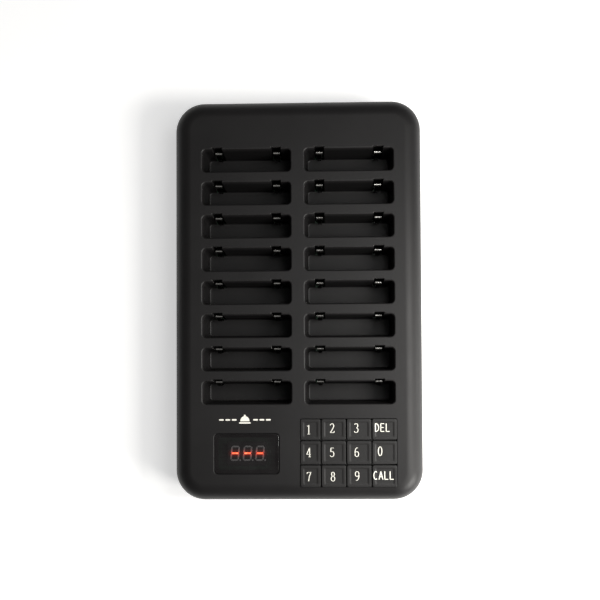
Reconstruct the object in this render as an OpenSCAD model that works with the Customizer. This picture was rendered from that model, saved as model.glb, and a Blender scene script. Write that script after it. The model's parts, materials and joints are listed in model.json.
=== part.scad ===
// Guest paging base station: keypad transmitter and sixteen-slot charging base.
// Units are millimetres. The origin is on the table under the middle of the body,
// +Z is up, +Y points away from the user and the keypad is at the -Y end.

/* [Body] */
// Width across the long sides
body_w = 168; // [166:0.5:174]
// Length from the keypad end to the far end
body_l = 272; // [270:0.5:280]
// Height from the table to the deck, feet included
body_h = 46; // [45:0.5:50]
// Corner radius seen from above
corner_r = 20; // [18:0.5:22]
// Rounding of the long edge round the deck
edge_r = 12; // [9:0.5:13]
// Rounding of the lower edge of the tray
lower_edge_r = 5; // [3:0.5:6]
// Wall thickness of both shells
wall = 2.4; // [2:0.1:2.6]
// Height of the seam between the two shells
seam_z = 24; // [23.5:0.5:26]
// Height of the feet below the tray
foot_h = 2; // [1.5:0.1:2.5]

/* [Slots] */
// Slot mouth, along X
slot_w = 60; // [56:0.5:61]
// Slot mouth, along Y
slot_h = 15.2; // [14.5:0.1:15.4]
// Depth of a well below the deck
slot_depth = 30; // [28:0.5:30.5]
// Corner radius of the slot mouth
slot_r = 2.6; // [1.5:0.1:3]
// Distance between rows
row_pitch = 22.5; // [22.4:0.1:22.8]
// Distance between the middles of the two columns
column_pitch = 69.4; // [68:0.1:70]
// Middle of the row nearest the keypad, along Y
first_row_y = -63.2; // [-64:0.1:-62.5]
// Draft of the far wall over its depth
far_draft = 1; // [0.5:0.1:1.4]
// Draft of the near wall over its depth
near_draft = 1.3; // [1:0.1:2.4]
// Draft of each side wall over its depth
side_draft = 1.2; // [0.5:0.1:2]

/* [Contacts] */
// Distance of each contact from the middle of its slot
contact_x = 20; // [17:0.5:21]
// Width of the notch that a contact stands in
notch_w = 6.8; // [6:0.1:7.5]
// Depth of the notch in the deck, beyond the slot's far edge
notch_d = 1.3; // [1.1:0.1:1.8]
// Width of the strap
strap_w = 4.6; // [4:0.1:5]
// Width of the bowed arm that touches a pager
arm_w = 2.8; // [2:0.1:3.4]
// Sheet thickness
strap_t = 0.35; // [0.25:0.05:0.4]

/* [Keypad and display] */
// Distance between key columns
key_pitch_x = 17; // [16.5:0.1:17.2]
// Distance between key rows
key_pitch_y = 16.3; // [16:0.1:16.5]
// Width of the first key column
first_key_w = 14.1; // [12:0.1:16]
// Height of the upper key row
upper_key_h = 14.5; // [13:0.1:15.5]
// Height of the lower key row
lower_key_h = 15.1; // [13:0.1:15.5]
// Gap between keys
key_gap = 0.8; // [0.6:0.1:1.2]
// Key travel
key_travel = 1.2; // [0.8:0.1:1.2]
// How far the keys stand above the deck
key_proud = 0.4; // [0.1:0.1:0.8]
// Display window, along X
window_w = 43.6; // [42:0.1:45]
// Display window, along Y
window_h = 27; // [25:0.1:28]
// Distance between digits
digit_pitch = 8.4; // [8:0.1:8.6]

/* [Hidden] */
$fn = 48;

KEYS = ["1", "2", "3", "del", "4", "5", "6", "0", "7", "8", "9", "call"];
KEY_NODES = [for (k = KEYS) str("key_", k)];
ROWS = 8;
SIDES = ["left", "right"];
CONTACT_NODES = [for (s = SIDES, r = [1:ROWS]) str("contacts_", s, "_", r)];

// Shared clearances
CUT = 1;
FIT = 0.2;

// Heights
deck_z = body_h;
deck_under_z = deck_z - wall;
well_floor_z = deck_z - slot_depth;
well_wall = 1.6;
tray_z = foot_h;
tray_floor_z = tray_z + wall;
board_t = 1.6;
charging_board_z = tray_floor_z + 5;
charging_top_z = charging_board_z + board_t;
control_board_z = deck_z - 10;
control_top_z = control_board_z + board_t;

// Inner face of the walls, and the tongue of the tray that sits in the top housing
inner_w = body_w - 2 * wall;
inner_l = body_l - 2 * wall;
inner_r = corner_r - wall;
tongue_t = wall / 2 - 0.3;
tongue_h = 2;

// Rows and columns of slots
column_x = [-column_pitch / 2, column_pitch / 2];
channel_d = notch_d + 2.1;
riser_back = 0.9;
channel_wall = 1.2;
first_channel_z = well_floor_z - 3;

// Keypad
keys_right_x = 66;
keys_top_y = -80.8;
key_x0 = keys_right_x - 3 * key_pitch_x - first_key_w;
keys_bottom_y = keys_top_y - upper_key_h - key_pitch_y - lower_key_h;
key_t = 3.4;
dish_d = 0.35;
dish_inset = 2.1;
stem_r = 1.8;
dome_top_z = control_top_z + 2.3;
mat_t = 1.2;

// Display
window_x = -35;
window_y = -104.2;
window_r = 2.4;
lens_t = 1.6;
lens_drop = 0.3;
ledge = 2.5;
digits = 3;
led_w = digits * digit_pitch + 0.8;
led_h = 15;

// Case screws and the columns round them
case_screw_xy = [for (y = [-104, 8, 104], x = [-75, 75]) [x, y]];
boss_r = 3.5;
pilot_r = 1.3;
column_r = 5;
head_r = 2.8;
counterbore_z = 14;
case_screw_l = 20;

// Board screws
charging_screw_xy = [for (y = [-68, 14, 110], x = [-63, 63]) [x, y]];
control_screw_xy = [[-62, -82], [-62, -125], [69, -82], [69, -125]];
board_pilot_r = 0.9;
board_screw_r = 0.85;
pillar_r = 3;
post_r = 2.1;

// Rear sockets
rear_y = body_l / 2;
inlet_x = 30;
inlet_w = 9;
inlet_h = 11;
inlet_l = 14.4;
inlet_bore_r = 3.15;
inlet_pin_r = 1;
switch_x = -30;
switch_z = 16.4;
switch_pocket_w = 17.4;
switch_pocket_h = 12;
switch_pocket_d = 1.8;
switch_hole_w = 15;
switch_hole_h = 9.6;
pad_t = 2;
rocker_tilt = 8;

// Feet
foot_r = 7;
foot_sink = 1.2;
foot_xy = [66, 118];

// ---------------------------------------------------------------- shared shapes

module rounded_rect(w, l, r) {
    square([w - 2 * r, l], center = true);
    square([w, l - 2 * r], center = true);
    for (x = [-1, 1], y = [-1, 1])
        translate([x * (w / 2 - r), y * (l / 2 - r)]) circle(r);
}

module slab(w, l, r, z0, z1) {
    translate([0, 0, z0]) linear_extrude(height = z1 - z0) rounded_rect(w, l, r);
}

// A block with vertical sides and one rounded rim, at the top or at the bottom
module pillow(w, l, r, rim_r, z0, z1, rim_up = true) {
    straight_z = rim_up ? z0 : z0 + rim_r;
    rim_z = rim_up ? z1 - rim_r : z0 + rim_r;
    hull() {
        for (x = [-1, 1], y = [-1, 1]) translate([x * (w / 2 - r), y * (l / 2 - r), 0]) {
            translate([0, 0, straight_z]) cylinder(r = r, h = z1 - z0 - rim_r, $fn = 40);
            translate([0, 0, rim_z]) rotate_extrude($fn = 40) intersection() {
                translate([r - rim_r, 0]) circle(rim_r, $fn = 32);
                translate([0, rim_up ? 0 : -rim_r]) square([r, rim_r]);
            }
        }
    }
}

module at_slots() {
    for (x = column_x, i = [0:ROWS - 1])
        translate([x, first_row_y + i * row_pitch, 0]) children();
}

module at_contacts() {
    for (x = [-contact_x, contact_x]) translate([x, 0, 0]) children();
}

// A ring along the walls, from t0 inside their inner face to t1 into their thickness
module rim_ring(t0, t1, z0, z1) {
    difference() {
        slab(inner_w + 2 * t1, inner_l + 2 * t1, inner_r + t1, z0, z1);
        slab(inner_w - 2 * t0, inner_l - 2 * t0, inner_r - t0, z0 - CUT, z1 + CUT);
    }
}

module box(x0, x1, y0, y1, z0, z1) {
    translate([x0, y0, z0]) cube([x1 - x0, y1 - y0, z1 - z0]);
}

module screw(r, l, hr, hh) {
    cylinder(r = r, h = l);
    translate([0, 0, -hh]) difference() {
        cylinder(r = hr, h = hh);
        for (a = [0, 90]) rotate(a)
            translate([-hr * 0.6, -hr * 0.12, -CUT]) cube([hr * 1.2, hr * 0.24, CUT + hh * 0.45]);
    }
}

// ---------------------------------------------------------------- housings

// The tapered space that a pager stands in
module well_space() {
    floor_w = slot_w - 2 * side_draft;
    floor_h = slot_h - near_draft - far_draft;
    over = (slot_depth + CUT) / slot_depth;
    top_w = floor_w + (slot_w - floor_w) * over;
    top_h = floor_h + (slot_h - floor_h) * over;
    fixed_y = slot_h / 2 - far_draft * slot_h / (near_draft + far_draft);
    floor_y = (near_draft - far_draft) / 2;
    translate([0, fixed_y, well_floor_z])
        linear_extrude(height = slot_depth + CUT, slices = 1,
                       scale = [top_w / floor_w, top_h / floor_h])
            translate([0, floor_y - fixed_y]) rounded_rect(floor_w, floor_h, slot_r, $fn = 24);
}

module well_walls() {
    box(-slot_w / 2 - well_wall, slot_w / 2 + well_wall, -slot_h / 2 - well_wall,
        slot_h / 2 + well_wall, well_floor_z - well_wall, deck_under_z + CUT / 2);
    at_contacts()
        box(-notch_w / 2 - channel_wall, notch_w / 2 + channel_wall, 0,
            slot_h / 2 + channel_d + channel_wall, well_floor_z - well_wall, deck_under_z + CUT / 2);
}

// The notch through the deck and the deeper channel under it, open to the charging board
module contact_space() {
    at_contacts() {
        box(-notch_w / 2, notch_w / 2, slot_h / 2 - far_draft - CUT / 2, slot_h / 2 + notch_d,
            first_channel_z, deck_z + CUT);
        box(-notch_w / 2, notch_w / 2, slot_h / 2 - far_draft - CUT / 2, slot_h / 2 + channel_d,
            first_channel_z, deck_under_z - 0.2);
    }
}

module window_cut() {
    translate([window_x, window_y, 0]) {
        slab(window_w + FIT, window_h + FIT, window_r, deck_z - lens_drop - lens_t, deck_z + CUT);
        slab(window_w - 2 * ledge, window_h - 2 * ledge, window_r, deck_under_z - CUT, deck_z);
    }
}

module keypad_cut() {
    w = keys_right_x - key_x0;
    l = keys_top_y - keys_bottom_y;
    translate([key_x0 + w / 2, keys_bottom_y + l / 2, 0])
        slab(w, l, 1, deck_under_z - CUT, deck_z + CUT);
}

module top_housing() {
    color([0.075, 0.072, 0.074]) difference() {
        union() {
            difference() {
                pillow(body_w, body_l, corner_r, edge_r, seam_z, deck_z);
                pillow(body_w - 2 * wall, body_l - 2 * wall, corner_r - wall, edge_r - wall,
                       seam_z - CUT, deck_under_z);
            }
            for (p = case_screw_xy) translate([p.x, p.y, seam_z])
                cylinder(r = boss_r, h = deck_under_z - seam_z + 0.1);
            for (p = control_screw_xy) translate([p.x, p.y, control_top_z])
                cylinder(r = post_r, h = deck_under_z - control_top_z + CUT / 2);
            at_slots() well_walls();
        }
        at_slots() {
            well_space();
            contact_space();
        }
        window_cut();
        keypad_cut();
        for (p = case_screw_xy) translate([p.x, p.y, seam_z - CUT])
            cylinder(r = pilot_r, h = 14 + CUT);
        for (p = control_screw_xy) translate([p.x, p.y, control_top_z - CUT])
            cylinder(r = board_pilot_r, h = 4.5 + CUT);
        // rebate for the tongue of the tray
        rim_ring(CUT, tongue_t + FIT, seam_z - CUT, seam_z + tongue_h + FIT);
    }
}

module bottom_housing() {
    color([0.07, 0.068, 0.07]) difference() {
        union() {
            difference() {
                union() {
                    pillow(body_w, body_l, corner_r, lower_edge_r, tray_z, seam_z - 0.6,
                           rim_up = false);
                    // the rim steps in to leave a shadow line below the top housing
                    slab(body_w - 1, body_l - 1, corner_r - 0.5, seam_z - CUT, seam_z);
                }
                slab(inner_w, inner_l, inner_r, tray_floor_z, seam_z + CUT);
            }
            rim_ring(0, tongue_t, seam_z - CUT, seam_z + tongue_h);
            for (p = case_screw_xy) translate([p.x, p.y, tray_z + wall / 2])
                cylinder(r = column_r, h = seam_z - tray_z - wall / 2 - 0.1);
            for (p = charging_screw_xy) translate([p.x, p.y, tray_z + wall / 2])
                cylinder(r = pillar_r, h = charging_board_z - tray_z - wall / 2);
            // thicker wall behind the switch
            box(switch_x - switch_pocket_w / 2 - 2, switch_x + switch_pocket_w / 2 + 2,
                rear_y - wall - pad_t, rear_y - wall / 2, tray_floor_z - wall / 2, seam_z - 1.2);
        }
        for (p = case_screw_xy) translate([p.x, p.y, 0]) {
            translate([0, 0, tray_z - CUT]) cylinder(r = head_r + 0.6, h = counterbore_z - tray_z + CUT);
            cylinder(r = pilot_r + 0.4, h = seam_z + CUT);
        }
        for (p = charging_screw_xy) translate([p.x, p.y, tray_floor_z])
            cylinder(r = board_pilot_r, h = 6);
        for (x = [-1, 1], y = [-1, 1]) translate([x * foot_xy.x, y * foot_xy.y, 0])
            cylinder(r = foot_r + 0.1, h = tray_z + foot_sink);
        // rear openings
        box(inlet_x - inlet_w / 2 - FIT, inlet_x + inlet_w / 2 + FIT, rear_y - wall - CUT,
            rear_y + CUT, charging_top_z - 0.1, charging_top_z + inlet_h + FIT);
        translate([switch_x, 0, switch_z]) {
            box(-switch_pocket_w / 2, switch_pocket_w / 2, rear_y - switch_pocket_d, rear_y + CUT,
                -switch_pocket_h / 2, switch_pocket_h / 2);
            box(-switch_hole_w / 2, switch_hole_w / 2, rear_y - wall - pad_t - CUT, rear_y + CUT,
                -switch_hole_h / 2, switch_hole_h / 2);
        }
        // vents under the charging board and the sounder
        for (x = column_x, i = [-4:4])
            box(x - 14, x + 14, i * 7 + 39, i * 7 + 41, tray_z - CUT, tray_floor_z + CUT);
        for (i = [-2:2])
            box(i * 2.5 - 0.6, i * 2.5 + 0.6, -104, -92, tray_z - CUT, tray_floor_z + CUT);
    }
}

// ---------------------------------------------------------------- display

module display_window() {
    color([0.05, 0.045, 0.047]) translate([window_x, window_y, 0])
        slab(window_w, window_h, window_r - FIT / 2, deck_z - lens_drop - lens_t, deck_z - lens_drop);
}

module led_display() {
    h = deck_under_z - 0.3 - control_top_z;
    color([0.13, 0.12, 0.12]) translate([window_x, window_y, control_top_z]) {
        difference() {
            translate([-led_w / 2, -led_h / 2, 0]) cube([led_w, led_h, h]);
            // the seven segment wells and the point of each digit
            for (i = [-1:1]) translate([i * digit_pitch, 0, h - 0.4]) {
                for (y = [-4.5, 0, 4.5]) translate([-2, y - 0.55, 0]) cube([4, 1.1, CUT]);
                for (x = [-2.6, 2.6], y = [-2.25, 2.25])
                    translate([x - 0.55, y - 1.6, 0]) cube([1.1, 3.2, CUT]);
                translate([3.6, -4.6, 0]) cylinder(r = 0.5, h = CUT, $fn = 24);
            }
        }
    }
}

// ---------------------------------------------------------------- keypad

function key_col(i) = i % 4;
function key_row(i) = floor(i / 4);
function key_left(c) = c == 0 ? key_x0 : keys_right_x - (4 - c) * key_pitch_x;
function key_right(c) = keys_right_x - (3 - c) * key_pitch_x;
function key_top(r) = keys_top_y - (r == 0 ? 0 : upper_key_h + (r - 1) * key_pitch_y);
function key_bottom(r) =
    keys_top_y - upper_key_h - (r == 0 ? 0 : r == 1 ? key_pitch_y : key_pitch_y + lower_key_h);
function key_mid(i) = [(key_left(key_col(i)) + key_right(key_col(i))) / 2,
                       (key_top(key_row(i)) + key_bottom(key_row(i))) / 2];

module key_cap(i) {
    w = key_right(key_col(i)) - key_left(key_col(i)) - key_gap;
    l = key_top(key_row(i)) - key_bottom(key_row(i)) - key_gap;
    top = deck_z + key_proud;
    color([0.08, 0.077, 0.078]) translate([key_mid(i).x, key_mid(i).y, 0]) {
        difference() {
            slab(w, l, 1, top - key_t, top);
            slab(w - 2 * dish_inset, l - 2 * dish_inset, 0.9, top - dish_d, top + CUT);
        }
        translate([0, 0, dome_top_z + key_travel + 0.1])
            cylinder(r = stem_r, h = top - key_t - dome_top_z - key_travel, $fn = 32);
    }
}

module keypad_mat() {
    margin = 0.6;
    dome_base_r = 4.2;
    color([0.55, 0.56, 0.55]) union() {
        box(key_x0 - margin, keys_right_x + margin, keys_bottom_y - margin, keys_top_y + margin,
            control_top_z, control_top_z + mat_t);
        for (i = [0:len(KEYS) - 1]) translate([key_mid(i).x, key_mid(i).y, control_top_z + mat_t / 2])
            cylinder(r1 = dome_base_r, r2 = stem_r + 0.6, h = dome_top_z - control_top_z - mat_t / 2);
    }
}

// ---------------------------------------------------------------- boards

module control_board() {
    color([0.05, 0.26, 0.14]) difference() {
        box(-70, 71, -129, -76, control_board_z, control_top_z);
        for (p = control_screw_xy) translate([p.x, p.y, control_board_z - CUT])
            cylinder(r = board_screw_r + 0.35, h = board_t + 2 * CUT);
    }
}

module control_board_screws() {
    color([0.62, 0.62, 0.64]) for (p = control_screw_xy) translate([p.x, p.y, control_board_z])
        screw(board_screw_r, 5, 1.8, 1.3);
}

module microcontroller() {
    color([0.08, 0.08, 0.09]) translate([30, -100, control_board_z]) {
        box(-5, 5, -5, 5, -1.6, -0.1);
        for (a = [0, 90, 180, 270]) rotate(a) for (i = [-4:4])
            translate([i, 5, 0]) box(-0.2, 0.2, -0.2, 1.1, -0.4, 0);
    }
}

module charging_board() {
    color([0.05, 0.26, 0.14]) difference() {
        box(-68, 68, -76, 128, charging_board_z, charging_top_z);
        at_slots() at_contacts()
            translate([0, slot_h / 2 + riser_back, 0]) box(-strap_w / 2 - 0.4, strap_w / 2 + 0.4,
                -0.75, 0.75, charging_board_z - CUT, charging_top_z + CUT);
        for (p = charging_screw_xy) translate([p.x, p.y, charging_board_z - CUT])
            cylinder(r = board_screw_r + 0.35, h = board_t + 2 * CUT);
    }
}

module charging_board_screws() {
    color([0.62, 0.62, 0.64]) for (p = charging_screw_xy)
        translate([p.x, p.y, charging_top_z]) mirror([0, 0, 1]) screw(board_screw_r, 6, 1.8, 1.3);
}

module reservoir_capacitors() {
    color([0.12, 0.13, 0.2]) for (x = [-4, 7, 15.5]) translate([x, 117, charging_top_z])
        difference() {
            cylinder(r = 4, h = 11);
            translate([0, 0, 10]) difference() {
                cylinder(r = 5, h = 0.4);
                cylinder(r = 3.7, h = 0.4);
            }
        }
}

module power_inductor() {
    color([0.2, 0.2, 0.21]) translate([46, 116, charging_top_z]) {
        slab(12, 12, 2, 0, 5.5);
    }
}

module charge_control_chip() {
    color([0.08, 0.08, 0.09]) translate([58, 121, charging_top_z]) {
        box(-2, 2, -2.5, 2.5, 0.1, 1.6);
        for (x = [-1, 1], i = [-1.5:1:1.5])
            translate([x * 2.4, i * 1.27, 0]) box(-0.6, 0.6, -0.2, 0.2, 0, 0.4);
    }
}

module radio_module() {
    color([0.7, 0.7, 0.71]) translate([-56, 119, charging_top_z]) {
        box(-8, 8, -6, 6, 0, 1);
        box(-6.5, 6.5, -5, 5, 1 - 0.1, 3.2);
    }
}

// Close-wound wire aerial lying on the board, drawn as a stack of turns
module aerial() {
    turns = 11;
    color([0.75, 0.6, 0.3]) translate([-45, 119, charging_top_z + 2.9]) rotate([0, 90, 0]) {
        for (i = [0:turns - 1]) translate([0, 0, i * 0.7]) rotate_extrude()
            translate([2.4, 0]) circle(0.45, $fn = 16);
        translate([2.4, 0, -1.6]) cylinder(r = 0.45, h = 1.9, $fn = 16);
    }
}

module sounder() {
    color([0.06, 0.06, 0.06]) translate([-12, -98, control_board_z]) mirror([0, 0, 1])
        difference() {
            cylinder(r = 6, h = 8.5);
            translate([0, 0, 5]) cylinder(r = 1.2, h = 5);
        }
}

// Flat cable between the boards, with a plug at each end
module link_cable() {
    w = 12;
    x = 34;
    t = 0.8;
    plug_h = 4;
    y0 = -74.2;
    y1 = -84;
    z0 = charging_top_z + plug_h;
    z1 = control_board_z - plug_h;
    mid_y = -88;
    color([0.75, 0.75, 0.72]) {
        box(x - w / 2 - 1, x + w / 2 + 1, y0 - 1.6, y0 + 1.6, charging_top_z, z0);
        box(x - w / 2 - 1, x + w / 2 + 1, y1 - 1.6, y1 + 1.6, z1, control_board_z);
        translate([x - w / 2, 0, 0]) rotate([90, 0, 90]) linear_extrude(height = w)
            polygon([[y0 - t, z0 - 0.1], [y0, z0 - 0.1], [y0, z0 + 1], [mid_y + t, z0 + 5],
                     [mid_y + t, z1 - 4], [y1 + t, z1 - 1], [y1 + t, z1 + 0.1], [y1, z1 + 0.1],
                     [y1, z1 - 0.6], [mid_y, z1 - 3.6], [mid_y, z0 + 4.6], [y0 - t, z0 + 0.6]]);
    }
}

// ---------------------------------------------------------------- rear sockets

module power_inlet() {
    z = charging_top_z + 0.55 * inlet_h;
    y0 = rear_y - 0.3 - inlet_l;
    color([0.05, 0.05, 0.05]) {
        difference() {
            box(inlet_x - inlet_w / 2, inlet_x + inlet_w / 2, y0, y0 + inlet_l,
                charging_top_z, charging_top_z + inlet_h);
            translate([inlet_x, y0 + 4.8, z]) rotate([-90, 0, 0]) cylinder(r = inlet_bore_r, h = inlet_l);
        }
        translate([inlet_x, y0 + 4.6, z]) rotate([-90, 0, 0]) cylinder(r = inlet_pin_r, h = 9);
    }
}

module switch_frame() {
    sleeve_y = 124;
    face_y = rear_y - switch_pocket_d;
    color([0.05, 0.05, 0.05]) translate([switch_x, 0, switch_z]) {
        difference() {
            union() {
                box(-8.5, 8.5, face_y, face_y + 0.8, -5.8, 5.8);
                box(-7.4, 7.4, sleeve_y, face_y + 0.8, -4.7, 4.7);
            }
            box(-6.8, 6.8, sleeve_y + 1, rear_y, -4.1, 4.1);
        }
        // pivot pin and the two blades
        translate([0, rear_y - 5, -4.4]) cylinder(r = 0.8, h = 8.8, $fn = 32);
        for (x = [-4, 4]) box(x - 0.4, x + 0.4, sleeve_y - 4, sleeve_y + 0.5, -2.2, 2.2);
    }
}

module switch_rocker() {
    half = 5.8;
    front = 3.4;
    rise = half * tan(rocker_tilt);
    color([0.06, 0.06, 0.06]) translate([switch_x, rear_y - 5, switch_z]) rotate(-rocker_tilt)
        difference() {
            translate([0, 0, -3.7]) linear_extrude(height = 7.4)
                polygon([[-half, front + rise - 0.3], [0, front - 0.3], [half, front + rise - 0.3],
                         [half - 0.6, 0], [2.6, -3.2], [-2.6, -3.2], [-half + 0.6, 0]]);
            translate([0, 0, -5]) cylinder(r = 0.85, h = 10, $fn = 32);
        }
}

// ---------------------------------------------------------------- contacts

// A strip of constant thickness along a chain of points
function unit(v) = v / norm(v);
function normal_at(p, i) =
    let (a = i == 0 ? p[1] - p[0] : p[i] - p[i - 1],
         b = i == len(p) - 1 ? a : p[i + 1] - p[i],
         m = unit(unit(a) + unit(b)))
    [-m.y, m.x] / (m * unit(a));
module strip(points, t) {
    up = [for (i = [0:len(points) - 1]) points[i] + normal_at(points, i) * t / 2];
    down = [for (i = [len(points) - 1:-1:0]) points[i] - normal_at(points, i) * t / 2];
    polygon(concat(up, down));
}

// Side view of one contact: riser in the channel, a bend over the top, then the bowed arm
riser_y = slot_h / 2 + riser_back;
bend_z = 33;
bend_r = 1;
bend = [for (a = [0:22.5:180]) [riser_y - bend_r + bend_r * cos(a), bend_z + bend_r * sin(a)]];
arm_y = riser_y - 2 * bend_r;
bow = 2;
arm = [for (s = [0.1:0.1:0.9]) [arm_y - bow * pow(sin(s * 180), 1.3), bend_z - s * 15]];
foot = [[arm_y, bend_z - 15], [arm_y - 0.3, bend_z - 15.8], [arm_y - 1.2, bend_z - 16.2]];

module contact() {
    tail_z = charging_board_z - 0.8;
    translate([-strap_w / 2, 0, 0]) rotate([90, 0, 90]) linear_extrude(height = strap_w)
        strip(concat([[riser_y, tail_z]], bend, [[arm_y, bend_z - 0.6]]), strap_t);
    translate([-arm_w / 2, 0, 0]) rotate([90, 0, 90]) linear_extrude(height = arm_w)
        strip(concat([[arm_y, bend_z - 0.3]], arm, foot), strap_t);
}

module contact_pair(side, row) {
    color([0.8, 0.79, 0.76])
        translate([column_x[side], first_row_y + (ROWS - 1 - row) * row_pitch, 0])
            at_contacts() contact();
}

// ---------------------------------------------------------------- fasteners and feet

module case_screws() {
    color([0.55, 0.55, 0.57]) for (p = case_screw_xy) translate([p.x, p.y, counterbore_z])
        screw(pilot_r - 0.02, case_screw_l, head_r, 2.2);
}

module foot_at(x, y) {
    color([0.12, 0.12, 0.12]) translate([x * foot_xy.x, y * foot_xy.y, 0])
        cylinder(r = foot_r, h = tray_z + foot_sink);
}

top_housing();
bottom_housing();
display_window();
led_display();
keypad_mat();
control_board();
control_board_screws();
microcontroller();
charging_board();
charging_board_screws();
reservoir_capacitors();
power_inductor();
charge_control_chip();
radio_module();
aerial();
sounder();
link_cable();
power_inlet();
switch_frame();
switch_rocker();
case_screws();
foot_at(-1, -1);  // foot_front_left
foot_at(1, -1);  // foot_front_right
foot_at(-1, 1);  // foot_rear_left
foot_at(1, 1);  // foot_rear_right
for (i = [0:len(KEYS) - 1]) key_cap(i);
for (s = [0, 1], r = [0:ROWS - 1])
    contact_pair(s, r);
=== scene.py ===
"""Looks of the guest pager base station: a keypad transmitter with sixteen charging slots.

Shapes are written in millimetres and go into Blender in metres. Every piece rides on a CAD body.
"""
import json
import math

import bmesh
import bpy
from mathutils import Matrix, Vector


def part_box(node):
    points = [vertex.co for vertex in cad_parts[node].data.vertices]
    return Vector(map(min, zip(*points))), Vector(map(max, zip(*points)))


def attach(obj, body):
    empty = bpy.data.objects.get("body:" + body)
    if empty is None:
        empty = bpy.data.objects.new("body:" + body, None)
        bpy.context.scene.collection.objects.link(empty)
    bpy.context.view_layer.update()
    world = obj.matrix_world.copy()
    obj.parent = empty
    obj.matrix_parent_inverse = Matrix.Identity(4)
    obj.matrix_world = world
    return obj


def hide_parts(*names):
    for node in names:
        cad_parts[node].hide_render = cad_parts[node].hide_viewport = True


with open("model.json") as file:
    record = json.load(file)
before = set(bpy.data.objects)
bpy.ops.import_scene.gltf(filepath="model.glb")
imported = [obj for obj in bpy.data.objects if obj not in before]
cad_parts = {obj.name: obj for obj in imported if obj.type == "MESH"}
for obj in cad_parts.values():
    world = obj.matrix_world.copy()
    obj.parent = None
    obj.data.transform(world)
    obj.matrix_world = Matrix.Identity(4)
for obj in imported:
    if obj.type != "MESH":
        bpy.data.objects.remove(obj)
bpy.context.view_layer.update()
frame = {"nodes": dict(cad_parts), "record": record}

MM = 0.001
ROOT = "base"
UP = Matrix.Identity(4)


def box_mm(node):
    """The box of a CAD node as x0, x1, y0, y1, z0, z1 in millimetres."""
    low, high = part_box(node)
    return [v / MM for v in (low.x, high.x, low.y, high.y, low.z, high.z)]


# ------------------------------------------------------------------ sizes, in millimetres

SHELL = box_mm("top_housing")
TRAY = box_mm("bottom_housing")
BODY_W, BODY_L = SHELL[1] - SHELL[0], SHELL[3] - SHELL[2]
PRINT_T, SUNK = 0.04, 0.02
DECK = SHELL[5] - PRINT_T
SEAM = 24.0
TRAY_Z = TRAY[4]
HEAD_Z = 14
WALL = 2.4
CORNER_R, EDGE_R, LOWER_R = 20.0, 12.0, 5.0
REAR = BODY_L / 2

SLOT_W, SLOT_H, SLOT_R, SLOT_D = 60.0, 15.2, 2.6, 30.0
NEAR_DRAFT, FAR_DRAFT, SIDE_DRAFT = 1.3, 1.0, 1.2
LIP_R, FLOOR_R = 0.9, 1.3
WELL_WALL = 1.6
NOTCH_X, NOTCH_W, NOTCH_D, CHANNEL_D = 20.0, 6.8, 1.3, 3.4
CHANNEL_WALL = 1.2
CHANNEL_Z = DECK - SLOT_D - 3

RISER_Y, BEND_Z, BEND_R, BOW, ARM_L = SLOT_H / 2 + 0.9, 33.0, 1.0, 2.0, 15.0
STRAP_W, ARM_W, STRAP_T = 4.6, 2.8, 0.35

CASE_SCREWS = [(x, y) for x in (-75, 75) for y in (-104, 8, 104)]
CONTROL_PILLARS = ((-62, -82), (-62, -125), (69, -82), (69, -125))
CHARGING_PILLARS = [(x, y) for x in (-63, 63) for y in (-68, 14, 110)]
FEET = [(x, y) for x in (-66, 66) for y in (-118, 118)]
COLUMN_X = (-34.7, 34.7)
ROWS = 8
mounts = {m["name"]: m["pos_m"] for m in frame["record"]["mounts"]}


def slot_at(side, row):
    """The middle of a slot's mouth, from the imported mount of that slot."""
    x, y, _ = mounts[f"slot_{side}_{row}"]
    return x / MM, y / MM


SLOTS = {(side, row): slot_at(side, row) for side in ("left", "right") for row in range(1, ROWS + 1)}

KEY_NAMES = ["1", "2", "3", "del", "4", "5", "6", "0", "7", "8", "9", "call"]
WINDOW = box_mm("display_window")


# ------------------------------------------------------------------ mesh helpers

def arc(cx, cy, rx, ry, start, end, steps):
    """Points of an elliptic arc, angles in degrees."""
    angles = [math.radians(start + (end - start) * i / steps) for i in range(steps + 1)]
    return [(cx + rx * math.cos(a), cy + ry * math.sin(a)) for a in angles]


def rounded_loop(x0, x1, y0, y1, r, steps=8):
    """A rectangle with round corners, counter-clockwise."""
    corners = ((x1 - r, y0 + r, -90), (x1 - r, y1 - r, 0), (x0 + r, y1 - r, 90), (x0 + r, y0 + r, 180))
    return [p for cx, cy, a in corners for p in arc(cx, cy, r, r, a, a + 90, steps)]


def rect_outline(x0, x1, y0, y1, r, steps=8, least=0.05):
    """Gives the function that returns the rectangle's loop, grown outwards by g."""
    return lambda g: rounded_loop(x0 - g, x1 + g, y0 - g, y1 + g, max(r + g, least), steps)


def circle_outline(cx, cy, r, steps=32):
    return lambda g: arc(cx, cy, r + g, r + g, 0, 360 * (steps - 1) / steps, steps - 1)


def add_prism(bm, outline, levels, turn=UP):
    """Adds a closed solid: outline(g) at each level (z, g), lowest ring first."""
    rings = []
    for z, g in levels:
        ring = [bm.verts.new(turn @ Vector((x, y, z)) * MM) for x, y in outline(g)]
        rings.append(ring)
    n = len(rings[0])
    for a, b in zip(rings, rings[1:]):
        for i in range(n):
            bm.faces.new((a[i], a[(i + 1) % n], b[(i + 1) % n], b[i]))
    bm.faces.new(reversed(rings[0]))
    bm.faces.new(rings[-1])


def rounded_levels(z0, z1, low_r, high_r, steps=4):
    """Levels of a block whose lower and upper rims are rounded by low_r and high_r."""
    levels = []
    for i in range(steps if low_r else 0):
        a = math.radians(90 * i / steps)
        levels.append((z0 + low_r * (1 - math.cos(a)), -low_r * (1 - math.sin(a))))
    levels += [(z0 + low_r, 0), (z1 - high_r, 0)]
    for i in range(1, steps + 1 if high_r else 0):
        a = math.radians(90 * i / steps)
        levels.append((z1 - high_r * (1 - math.sin(a)), -high_r * (1 - math.cos(a))))
    return levels


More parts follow.
